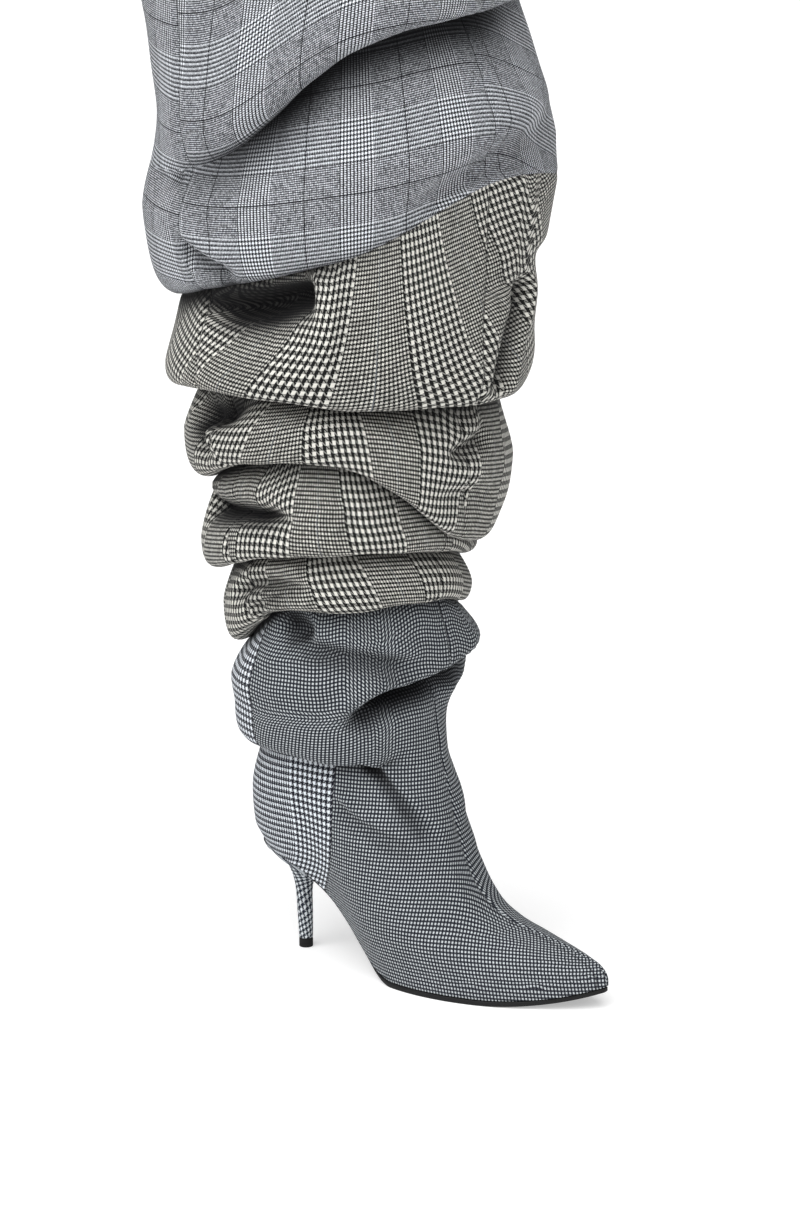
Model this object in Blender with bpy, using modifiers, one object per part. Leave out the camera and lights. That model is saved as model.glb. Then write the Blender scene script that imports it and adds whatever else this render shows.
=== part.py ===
"""Thigh-high slouch boot, right foot. Toe toward +X, outer side toward -Y, standing on Z = 0."""

import bpy
import bmesh
import numpy as np

# Driving sizes, millimetres. X = 0 is under the ball of the foot until ORIGIN moves it.
MM = 0.001
ORIGIN = (-57.7, 0.8)
AXIS_X = -89.0
WALL = 2.0
SEAM_GAP = 0.35
PIECE_GAP = 0.3
SOLE_THICKNESS = 3.2
INSOLE_THICKNESS = 2.5
FEATHER_INSET = 1.0
FEATHER_LIFT = 0.3
INSOLE_INSET = 4.0
INSOLE_TOE_X = 87.0
INSOLE_HEEL_X = -151.5
BREAST_X = -113.0
TIP_HEIGHT = 6.0
VAMP_SWELL = 8.5
HEEL_SWELL = 5.0
HALF_STEPS = 20
FRONT_CROWD = 1.35
FOOT_SHARES = (0.0, 0.11, 0.22, 0.32, 0.40, 0.47, 0.54, 0.63, 0.73, 0.82, 0.90, 0.95, 1.0)

# Outsole edge: station along the foot, outer and inner half widths, height of the underside.
SOLE = (
    # x, outer, inner, z
    (102.0, -6.0, 6.0, 12.0),
    (98.5, -0.6, 11.6, 10.8),
    (90.0, 6.8, 17.0, 8.2),
    (78.0, 14.6, 22.8, 5.2),
    (62.0, 22.8, 28.4, 2.4),
    (40.0, 32.2, 33.4, 0.4),
    (26.0, 36.4, 35.4, 0.0),
    (0.0, 40.6, 36.8, 0.0),
    (-20.0, 40.4, 36.0, 0.0),
    (-36.0, 37.6, 33.4, 0.0),
    (-52.0, 31.6, 28.6, 4.4),
    (-66.0, 26.6, 24.8, 15.4),
    (-80.0, 22.8, 22.0, 28.8),
    (-95.0, 20.6, 20.6, 42.0),
    (-112.0, 21.4, 21.4, 53.6),
    (-130.0, 23.8, 23.8, 62.4),
    (-146.0, 21.0, 21.0, 67.6),
    (-157.0, 13.4, 13.4, 70.0),
    (-162.0, 0.0, 0.0, 70.8),
)

# Centre line of the vamp, from the front of the ankle down to the sole at the toe.
RIDGE = (
    # x, z
    (-20.0, 143.0),
    (-14.0, 119.0),
    (-7.6, 94.0),
    (-2.8, 81.0),
    (7.6, 63.0),
    (14.8, 55.4),
    (30.0, 47.4),
    (52.5, 41.4),
    (67.5, 37.6),
    (88.0, 31.4),
    (96.5, 27.0),
    (100.2, 22.4),
    (101.0, 15.8),
)

# Where each direction round the ankle comes down on the sole's edge: 0 is the toe, 1 the heel.
LANDING = (
    # angle, place
    (0.0, 0.0),
    (4.0, 0.07),
    (15.0, 0.20),
    (35.0, 0.36),
    (60.0, 0.51),
    (90.0, 0.635),
    (130.0, 0.80),
    (180.0, 1.0),
)

# Six stations round the shaft, degrees from the toe, outer side negative.
STATIONS = (-140.0, -97.0, -55.0, -10.0, 35.0, 128.0)

# Shaft rows from the collar down: height at the six stations, then reach from the axis at the six stations.
# kind: crest is the fullest line of a roll, tuck the line where two rolls meet, pass neither.
# curl: for a tuck, how far the roll above hangs over it; for a crest, how quickly it swells out of the tuck above.
ROWS = (
    # name, kind, curl, heights, reaches
    ("collar", "pass", 0.0, (648, 648, 648, 648, 648, 648), (129, 123, 116, 105, 98, 112)),
    ("top_roll", "crest", 1.5, (592, 578, 618, 635, 634, 612), (124, 124, 120, 113, 104, 115)),
    ("top_tuck", "tuck", 0.3, (548, 540, 593, 614, 619, 580), (117, 112, 107, 105, 106, 110)),
    ("lower_top_roll", "crest", 1.4, (496, 503, 528, 556, 540, 515), (129, 126, 121, 123, 128, 126)),
    ("top_seam", "tuck", 0.3, (447, 455, 482, 518, 514, 478), (102, 97, 113, 121, 126, 112)),
    ("roll_1", "crest", 1.3, (390, 394, 393, 393, 408, 400), (118, 119, 117, 114, 115, 117)),
    ("tuck_1", "tuck", 0.55, (369, 378, 378, 376, 371, 371), (100, 96, 97, 97, 97, 99)),
    ("roll_2", "crest", 1.7, (343, 354, 360, 340, 338, 342), (107, 107, 105, 103, 101, 105)),
    ("tuck_2", "tuck", 0.45, (311, 334, 339, 304, 282, 304), (91, 89, 90, 86, 83, 90)),
    ("roll_3", "crest", 1.6, (279, 294, 297, 286, 274, 284), (97, 96, 94, 84, 78, 92)),
    ("tuck_3", "tuck", 0.5, (263, 276, 281, 276, 266, 268), (83, 80, 79, 76, 72, 79)),
    ("roll_4", "crest", 1.7, (243, 257, 265, 262, 251, 252), (83, 83, 82, 79, 75, 81)),
    ("lower_seam", "tuck", 0.45, (221, 242, 246, 247, 239, 233), (67, 66, 68, 69, 71, 68)),
    ("ankle_roll", "crest", 1.6, (178, 184, 202, 224, 220, 194), (79, 77, 75, 72, 79, 76)),
    ("instep_bend", "pass", 0.0, (158, 164, 172, 182, 170, 166), (77, 74, 71, 66, 58, 68)),
    ("ankle", "tuck", 0.45, (135, 140, 142, 143, 137, 135), (57, 50, 55, 69, 59, 51)),
)
TUCK_POWER = 2.3
FULL_HANG = 12.0
DOWN_TO_TUCK = (0.0, 0.36, 0.64, 0.85)
UP_FROM_TUCK = (0.0, 0.2, 0.5)
PLAIN_STEPS = (0.0, 0.34, 0.67)

# Heel loops below the seat: height, back and front on the centre line, half width, slope toward the back.
HEEL = (
    # z, back, front, half, slope
    (66.0, -152.6, -114.2, 19.6, 0.36),
    (60.4, -145.0, -115.6, 13.6, 0.30),
    (53.0, -139.0, -119.2, 8.8, 0.14),
    (42.0, -135.2, -123.4, 5.8, 0.0),
    (22.0, -133.6, -123.4, 5.0, 0.0),
    (6.3, -132.6, -123.4, 4.6, 0.0),
)
HEEL_STEPS = 28


def hermite(xs, ys, x):
    """Smooth curve through a short table, with slopes kept from overshooting."""
    xs = np.asarray(xs, float)
    ys = np.asarray(ys, float)
    step = np.diff(xs)
    rise = np.diff(ys) / step
    slope = np.empty(len(xs))
    slope[1:-1] = (rise[:-1] * step[1:] + rise[1:] * step[:-1]) / (step[1:] + step[:-1])
    slope[0] = rise[0]
    slope[-1] = rise[-1]
    i = np.clip(np.searchsorted(xs, x, side="right") - 1, 0, len(xs) - 2)
    f = np.clip((x - xs[i]) / step[i], 0.0, 1.0)
    a = (1 + 2 * f) * (1 - f) ** 2
    b = f * (1 - f) ** 2
    c = f * f * (3 - 2 * f)
    d = f * f * (f - 1)
    return a * ys[i] + b * step[i] * slope[i] + c * ys[i + 1] + d * step[i] * slope[i + 1]


def around(values, angle):
    """Value at an angle (degrees) from the six stations, closed round the shaft."""
    turns = 3
    xs = np.concatenate([np.asarray(STATIONS) + 360.0 * k for k in range(-1, turns - 1)])
    ys = np.tile(np.asarray(values, float), turns)
    return hermite(xs, ys, (np.asarray(angle, float) + 180.0) % 360.0 - 180.0)


def smooth(a, b, x):
    f = np.clip((x - a) / (b - a), 0.0, 1.0)
    return f * f * (3 - 2 * f)


def shaft_point(level, angle):
    """Point of the outer face. level counts rows from the collar: 2.5 lies half way from row 2 to row 3."""
    k = int(min(level, len(ROWS) - 1.000001))
    f = level - k
    above = ROWS[k]
    below = ROWS[k + 1]
    z0 = around(above[3], angle)
    z1 = around(below[3], angle)
    r0 = around(above[4], angle)
    r1 = around(below[4], angle)
    if below[1] == "tuck":
        g = f**TUCK_POWER
        h = f + below[2] * 4 * f * f * (1 - f) * np.clip((r0 - r1) / FULL_HANG, 0.0, 1.0)
    elif above[1] == "tuck":
        g = 1 - (1 - f) ** below[2]
        h = f
    else:
        g = smooth(0.0, 1.0, f)
        h = f
    reach = r0 + (r1 - r0) * g
    turn = np.radians(angle)
    return np.array((AXIS_X + reach * np.cos(turn), reach * np.sin(turn), z0 + (z1 - z0) * h))


def place_of(x):
    """The share of the sole's edge, 0 toe to 1 heel, that lies at a station."""
    x0 = SOLE[0][0]
    x1 = SOLE[-1][0]
    return float(np.arccos(np.clip(1 - 2 * (x - x0) / (x1 - x0), -1, 1)) / np.pi)


def sole_edge(c, side, inset=0.0):
    """Outsole edge at c (0 toe, 1 heel) on a side (-1 outer, 1 inner), moved in by inset. Also its outward direction."""
    x0 = SOLE[0][0]
    x1 = SOLE[-1][0]
    places = [place_of(row[0]) for row in SOLE]
    widths = [row[1] if side < 0 else row[2] for row in SOLE]

    def edge(c):
        x = x0 + (x1 - x0) * (1 - np.cos(np.pi * c)) / 2
        return np.array((x, side * hermite(places, widths, c)))

    ahead = edge(min(c + 0.002, 1.0))
    behind = edge(max(c - 0.002, 0.0))
    along = ahead - behind
    out = np.array((-along[1], along[0])) * -side
    out = out / np.linalg.norm(out)
    if c <= 0.0:
        out = np.array((1.0, 0.0))
    if c >= 1.0:
        out = np.array((-1.0, 0.0))
    return edge(c) - out * inset, out


def sole_height(x):
    """Height of the outsole's underside at a station."""
    return np.maximum(hermite([row[0] for row in SOLE[::-1]], [row[3] for row in SOLE[::-1]], x), 0.0)


def seat_height(x):
    """Height of the edge that the upper stands on."""
    return sole_height(x) + SOLE_THICKNESS + PIECE_GAP


def ridge_shape(v):
    """Centre line of the vamp as shares of its own length and height, v from 0 at the ankle to 1 at the sole."""
    xs = np.array([row[0] for row in RIDGE])
    zs = np.array([row[1] for row in RIDGE])
    lengths = np.concatenate([[0.0], np.cumsum(np.hypot(np.diff(xs), np.diff(zs)))])
    x = hermite(lengths, xs, v * lengths[-1])
    z = hermite(lengths, zs, v * lengths[-1])
    return (x - xs[0]) / (xs[-1] - xs[0]), (z - zs[-1]) / (zs[0] - zs[-1])


def foot_point(angle, v):
    """Point of the foot's outer face below the ankle, v from 0 at the ankle to 1 at the sole's edge."""
    turn = abs(angle)
    side = -1 if angle < 0 else 1
    place = hermite([row[0] for row in LANDING], [row[1] for row in LANDING], turn)
    edge, out = sole_edge(float(place), side, FEATHER_INSET)
    top = shaft_point(len(ROWS) - 1, angle)
    foot = np.array((edge[0], edge[1], seat_height(edge[0]) + FEATHER_LIFT))
    along, height = ridge_shape(v)
    over = 1 - smooth(0.0, 105.0, turn)
    along = over * along + (1 - over) * v
    height = over * height + (1 - over) * (1 - v)
    point = foot + (top - foot) * np.array((1 - along, 1 - v, height))
    heel = smooth(110.0, 160.0, turn)
    swell = VAMP_SWELL * smooth(0.0, 12.0, turn) * (1 - heel) + HEEL_SWELL * heel
    point[:2] += out * swell * 4 * v * (1 - v)
    return point


def surface(mesh, columns, rows, place):
    """A grid of columns x rows quads, each corner moved by place(i, j)."""
    made = bmesh.ops.create_grid(mesh, x_segments=columns, y_segments=rows, size=0.5)
    for vert in made["verts"]:
        i = round((vert.co.x + 0.5) * columns)
        j = round((vert.co.y + 0.5) * rows)
        point = place(i, j)
        vert.co = ((point[0] - ORIGIN[0]) * MM, (point[1] - ORIGIN[1]) * MM, point[2] * MM)


def finish(mesh, name, colour, thickness=0.0):
    """Close, turn outward and add as one named object. A thickness makes a wall inward of the face."""
    bmesh.ops.remove_doubles(mesh, verts=mesh.verts, dist=0.00002)
    bmesh.ops.recalc_face_normals(mesh, faces=mesh.faces)
    data = bpy.data.meshes.new(name)
    mesh.to_mesh(data)
    mesh.free()
    part = bpy.data.objects.new(name, data)
    boot.objects.link(part)
    material = bpy.data.materials.new(name)
    material.use_nodes = True
    material.node_tree.nodes["Principled BSDF"].inputs["Base Color"].default_value = (*colour, 1.0)
    data.materials.append(material)
    if thickness:
        wall = part.modifiers.new("wall", "SOLIDIFY")
        wall.thickness = thickness * MM
        wall.offset = -1.0
        wall.use_quality_normals = True
    return part


def levels_between(first, last):
    """Levels from one row to another, closer together beside a tuck."""
    levels = []
    for k in range(first, last):
        if ROWS[k + 1][1] == "tuck":
            steps = DOWN_TO_TUCK
        elif ROWS[k][1] == "tuck":
            steps = UP_FROM_TUCK
        else:
            steps = PLAIN_STEPS
        levels += [k + f for f in steps]
    return levels + [float(last)]


def row_number(name):
    return [row[0] for row in ROWS].index(name)


def directions():
    """Angles round the boot from the back by the outer side, the toe and the inner side, closer together at the toe."""
    half = [180.0 * (i / HALF_STEPS) ** FRONT_CROWD for i in range(HALF_STEPS + 1)]
    return [-angle for angle in half[:0:-1]] + half


def tube(mesh, levels, drop_first=0.0, drop_last=0.0):
    """Rings of the shaft at the given levels. The first and last can be moved down or up to leave a seam gap."""
    angles = directions()

    def place(i, j):
        point = shaft_point(levels[j], angles[i])
        if j == 0:
            point[2] -= drop_first
        if j == len(levels) - 1:
            point[2] += drop_last
        return point

    surface(mesh, len(angles) - 1, len(levels) - 1, place)


def make_shaft_top():
    mesh = bmesh.new()
    tube(mesh, levels_between(row_number("collar"), row_number("top_seam")), 0.0, SEAM_GAP)
    return finish(mesh, "shaft_top", (0.30, 0.34, 0.42), WALL)


def make_shaft_middle():
    mesh = bmesh.new()
    tube(mesh, levels_between(row_number("top_seam"), row_number("lower_seam")), SEAM_GAP, SEAM_GAP)
    return finish(mesh, "shaft_middle", (0.55, 0.50, 0.42), WALL)


def make_upper():
    """Foot and ankle in one wall: the ankle roll, then the foot down to the sole's edge."""
    mesh = bmesh.new()
    tube(mesh, levels_between(row_number("lower_seam"), row_number("ankle")), SEAM_GAP, 0.0)
    angles = directions()
    surface(
        mesh,
        len(angles) - 1,
        len(FOOT_SHARES) - 1,
        lambda i, j: foot_point(angles[i], FOOT_SHARES[j]),
    )
    return finish(mesh, "upper", (0.10, 0.13, 0.22), WALL)


def plate(name, colour, toe_x, heel_x, inset, bottom, thickness):
    """A thin plate along the sole between two stations, inset from its edge, with its underside at bottom(x)."""
    first = place_of(toe_x)
    last = place_of(heel_x)
    columns = 40
    across = 4
    mesh = bmesh.new()

    def place(i, j, lift):
        c = first + (last - first) * i / columns
        x, outer = sole_edge(c, -1)[0]
        inner = sole_edge(c, 1)[0][1]
        half = max((inner - outer) / 2 - inset, 0.0)
        y = (inner + outer) / 2 + half * (2 * j / across - 1)
        return np.array((x, y, bottom(x) + lift))

    surface(mesh, columns, across, lambda i, j: place(i, j, 0.0))
    surface(mesh, columns, across, lambda i, j: place(i, j, thickness))
    bmesh.ops.remove_doubles(mesh, verts=mesh.verts, dist=0.00002)
    rims = [edge for edge in mesh.edges if edge.is_boundary]
    bmesh.ops.bridge_loops(mesh, edges=rims)
    return finish(mesh, name, colour)


def make_outsole():
    return plate("outsole", (0.012, 0.012, 0.012), SOLE[0][0], BREAST_X, 0.0, sole_height, SOLE_THICKNESS)


def make_insole():
    colour = (0.10, 0.09, 0.08)
    return plate("insole", colour, INSOLE_TOE_X, INSOLE_HEEL_X, INSOLE_INSET, seat_height, INSOLE_THICKNESS)


def seat_loop(i):
    """Edge of the heel seat: round the back on the sole's edge, straight across at the breast."""
    front = BREAST_X - 0.4
    start = place_of(front)
    q = 2.0 * i / HEEL_STEPS
    side = -1 if q <= 1 else 1
    q = q if q <= 1 else 2 - q
    inset = 0.4
    if q < 0.25:
        end = sole_edge(start, side, inset)[0]
        return np.array((front, end[1] * q / 0.25))
    return sole_edge(start + (1 - start) * (q - 0.25) / 0.75, side, inset)[0]


def oval_loop(i, back, front, half):
    turn = 2.0 * np.pi * i / HEEL_STEPS
    return np.array(((front + back) / 2 + (front - back) / 2 * np.cos(turn), -half * np.sin(turn)))


def make_heel():
    """Loft from the seat to the slim stem."""
    mesh = bmesh.new()

    def place(i, j):
        seat = seat_loop(i)
        if j == 0:
            return np.array((*seat, seat_height(seat[0]) - PIECE_GAP))
        if j == 1:
            return np.array((*seat, seat_height(seat[0]) - PIECE_GAP - 1.6))
        z, back, front, half, slope = HEEL[j - 2]
        oval = oval_loop(i, back, front, half)
        return np.array((*oval, z - slope * (oval[0] - (back + front) / 2)))

    surface(mesh, HEEL_STEPS, len(HEEL) + 1, place)
    bmesh.ops.remove_doubles(mesh, verts=mesh.verts, dist=0.00002)
    bmesh.ops.holes_fill(mesh, edges=[edge for edge in mesh.edges if edge.is_boundary], sides=0)
    bmesh.ops.triangulate(mesh, faces=[face for face in mesh.faces if len(face.verts) > 4])
    return finish(mesh, "heel", (0.45, 0.45, 0.47))


def make_heel_tip():
    """Wear piece under the stem, flat underneath."""
    z, back, front, half, slope = HEEL[-1]
    heights = (TIP_HEIGHT, 0.6, 0.0)
    shrink = (0.0, 0.0, 0.4)
    mesh = bmesh.new()

    def place(i, j):
        oval = oval_loop(i, back + shrink[j], front - shrink[j], half - shrink[j])
        return np.array((*oval, heights[j]))

    surface(mesh, HEEL_STEPS, len(heights) - 1, place)
    bmesh.ops.remove_doubles(mesh, verts=mesh.verts, dist=0.00002)
    bmesh.ops.holes_fill(mesh, edges=[edge for edge in mesh.edges if edge.is_boundary], sides=0)
    return finish(mesh, "heel_tip", (0.01, 0.01, 0.01))


for old in list(bpy.data.objects):
    bpy.data.objects.remove(old)
boot = bpy.data.collections.new("thigh_high_boot")
bpy.context.scene.collection.children.link(boot)
make_outsole()
make_insole()
make_heel()
make_heel_tip()
make_upper()
make_shaft_middle()
make_shaft_top()
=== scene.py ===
import math

import bmesh
import bpy
import numpy as np
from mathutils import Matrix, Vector


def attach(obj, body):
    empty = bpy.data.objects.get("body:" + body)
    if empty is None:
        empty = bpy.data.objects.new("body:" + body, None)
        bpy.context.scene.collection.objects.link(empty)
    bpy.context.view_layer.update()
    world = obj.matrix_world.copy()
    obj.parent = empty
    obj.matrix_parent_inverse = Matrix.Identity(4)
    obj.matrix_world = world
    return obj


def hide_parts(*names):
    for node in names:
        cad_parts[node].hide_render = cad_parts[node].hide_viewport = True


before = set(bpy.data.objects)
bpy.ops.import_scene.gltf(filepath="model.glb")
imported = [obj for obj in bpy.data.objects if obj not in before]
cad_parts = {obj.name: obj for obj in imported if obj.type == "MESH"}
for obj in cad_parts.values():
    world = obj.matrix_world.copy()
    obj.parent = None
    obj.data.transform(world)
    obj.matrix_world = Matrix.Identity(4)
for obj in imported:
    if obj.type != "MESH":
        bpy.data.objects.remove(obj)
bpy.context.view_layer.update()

# Sizes of the boot in millimetres, as in the part. X = 0 is under the ball until ORIGIN moves it.
MM = 0.001
ORIGIN = (-57.7, 0.8)
AXIS_X = -89.0
SEAM_GAP = 0.05
CLOTH_WALL = 1.8
SOLE_THICKNESS = 3.2
PIECE_GAP = 0.3
FEATHER_INSET = 1.0
HEEL_TUCK = 3.6
BREAST_X = -113.0
WAIST_INSET = 1.7
WAIST_BEVEL = 2.2
TOE_INSET = 2.2
TIP_HEIGHT = 6.0
VAMP_SWELL = 8.5
HEEL_SWELL = 5.0
HEEL_INSET = 0.4
HEEL_RIM = 1.6
WAIST_X = (-62.0, -36.0)
TOE_TAPER_X = (40.0, 90.0)
# Degrees round the ankle over which side becomes heel, over which the ridge's shape dies away and over which
# the vamp swells, and the breast's share of half the heel's outline.
HEEL_TURN = (110.0, 160.0)
RIDGE_TURN = 105.0
SWELL_TURN = 12.0
BREAST_SHARE = 0.25
# Metres within which points are welded, and radians past which an edge is sharp.
WELD = 0.00001
SHARP = 1.0

# Spacing of the skin: columns on half the boot, crowded to the front, and rings. Degrees kept clear beside a
# seam, the columns close to it, and the direction that the photograph sees best.
HALF_STEPS = 130
FRONT_CROWD = 1.22
ROW_STEP = 2.6
ROW_SAMPLES = 60
FOOT_RINGS = 95
SEAM_CLEAR = 0.9
SEAM_SIDE = 0.55
FACING = -55.0

SOLE = (
    # x, outer, inner, z
    (102.0, -6.0, 6.0, 12.0),
    (98.5, -0.6, 11.6, 10.8),
    (90.0, 6.8, 17.0, 8.2),
    (78.0, 14.6, 22.8, 5.2),
    (62.0, 22.8, 28.4, 2.4),
    (40.0, 32.2, 33.4, 0.4),
    (26.0, 36.4, 35.4, 0.0),
    (0.0, 40.6, 36.8, 0.0),
    (-20.0, 40.4, 36.0, 0.0),
    (-36.0, 37.6, 33.4, 0.0),
    (-52.0, 31.6, 28.6, 4.4),
    (-66.0, 26.6, 24.8, 15.4),
    (-80.0, 22.8, 22.0, 28.8),
    (-95.0, 20.6, 20.6, 42.0),
    (-112.0, 21.4, 21.4, 53.6),
    (-130.0, 23.8, 23.8, 62.4),
    (-146.0, 21.0, 21.0, 67.6),
    (-157.0, 13.4, 13.4, 70.0),
    (-162.0, 0.0, 0.0, 70.8),
)
TOE_X = SOLE[0][0]
BACK_X = SOLE[-1][0]
RIDGE = (
    # x, z
    (-20.0, 143.0),
    (-14.0, 119.0),
    (-7.6, 94.0),
    (-2.8, 81.0),
    (7.6, 63.0),
    (14.8, 55.4),
    (30.0, 47.4),
    (52.5, 41.4),
    (67.5, 37.6),
    (88.0, 31.4),
    (96.5, 27.0),
    (100.2, 22.4),
    (101.0, 15.8),
)
LANDING = (
    # angle, place
    (0.0, 0.0),
    (4.0, 0.07),
    (15.0, 0.20),
    (35.0, 0.36),
    (60.0, 0.51),
    (90.0, 0.635),
    (130.0, 0.80),
    (180.0, 1.0),
)
STATIONS = (-140.0, -97.0, -55.0, -10.0, 35.0, 128.0)
ROWS = (
    # name, kind, curl, heights, reaches
    ("collar", "pass", 0.0, (648,) * 6, (132, 125, 116, 105, 98, 112)),
    ("top_roll", "crest", 1.5, (556, 560, 620, 636, 635, 592), (122, 128, 123, 115, 105, 113)),
    ("top_tuck", "tuck", (0.0, 0.2, 0.8, 0.8, 0.3, 0.2),
     (522, 536, 604, 623, 623, 566), (126, 114, 96, 92, 103, 110)),
    ("lower_top_roll", "crest", 1.2, (496, 503, 528, 556, 540, 515), (131, 127, 121, 123, 128, 126)),
    ("top_seam", "tuck", (0.3, 0.3, 0.2, 0.1, 0.1, 0.3),
     (442, 457, 478, 520, 515, 478), (106, 107, 112, 121, 129, 112)),
    ("roll_1", "crest", 1.2, (399, 401, 402, 401, 416, 408), (118, 120, 117, 114, 115, 117)),
    ("tuck_1", "tuck", (0.8, 0.9, 0.8, 0.7, 0.4, 0.6),
     (387, 392, 387, 384, 379, 379), (93, 87, 87, 88, 91, 92)),
    ("roll_2", "crest", 1.3, (355, 367, 371, 342, 338, 348), (107, 107, 105, 103, 101, 105)),
    ("tuck_2", "tuck", (0.5, 0.7, 0.9, 0.9, 0.1, 0.6),
     (326, 347, 350, 305, 287, 310), (84, 80, 81, 78, 77, 83)),
    ("roll_3", "crest", 1.3, (284, 305, 309, 296, 280, 290), (97, 96, 94, 84, 79, 92)),
    ("tuck_3", "tuck", (0.8, 0.9, 0.8, 0.6, 0.3, 0.6),
     (268, 287, 293, 286, 272, 274), (75, 71, 70, 68, 67, 72)),
    ("roll_4", "crest", 1.4, (243, 263, 271, 268, 253, 254), (83, 83, 82, 79, 75, 81)),
    ("lower_seam", "tuck", (0.8, 0.8, 0.7, 0.6, 0.4, 0.5),
     (221, 249, 253, 254, 240, 234), (63, 60, 62, 64, 68, 64)),
    ("ankle_roll", "crest", 1.4, (192, 196, 208, 226, 220, 200), (79, 77, 75, 72, 79, 76)),
    ("instep_bend", "pass", 0.0, (175, 177, 179, 184, 182, 174), (77, 75, 72, 66, 58, 68)),
    ("ankle", "tuck", (0.7, 0.8, 0.7, 0.0, 0.0, 0.5),
     (155, 156, 152, 146, 138, 142), (57, 49, 53, 70, 59, 51)),
)
TUCK_POWER = (1.7, 2.2)
FULL_HANG = 12.0
# Depth of a crease in widths, and drop of a tuck in millimetres, at which their painted shade is full.
FULL_CREASE = 2.2
FULL_TUCK = 22.0
SOFTNESS = 0.55
PATH_POINTS = 32
ROW_CLEAR = 0.12
# Shape of a crease in widths of its trough, with how far its painted shade reaches below the trough.
TROUGH_ABOVE = 0.7
TROUGH_BELOW = 1.6
SHADE_BELOW = 2.4
LIP_PLACE = 1.5
HANG_PLACE = 0.9
# Share by which painted shade darkens the cloth towards near black in the deepest creases and tucks.
CREASE_SHADE = 0.96
# How far the shade of each tuck reaches up under the lip and down onto the roll below.
TUCK_SHADE = (
    # row, up, down
    ("top_tuck", 10.0, 32.0),
    ("top_seam", 8.0, 13.0),
    ("tuck_1", 7.0, 11.0),
    ("tuck_2", 7.0, 11.0),
    ("tuck_3", 7.0, 10.0),
    ("lower_seam", 6.0, 8.0),
    ("ankle", 8.0, 10.0),
)
HEEL = (
    # z, back, front, half, slope
    (66.0, -152.6, -114.2, 19.6, 0.36),
    (60.4, -145.0, -115.6, 13.6, 0.30),
    (53.0, -139.0, -119.2, 8.8, 0.14),
    (42.0, -135.2, -123.4, 5.8, 0.0),
    (22.0, -133.6, -123.4, 5.0, 0.0),
    (6.3, -132.6, -123.4, 4.6, 0.0),
)

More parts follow.
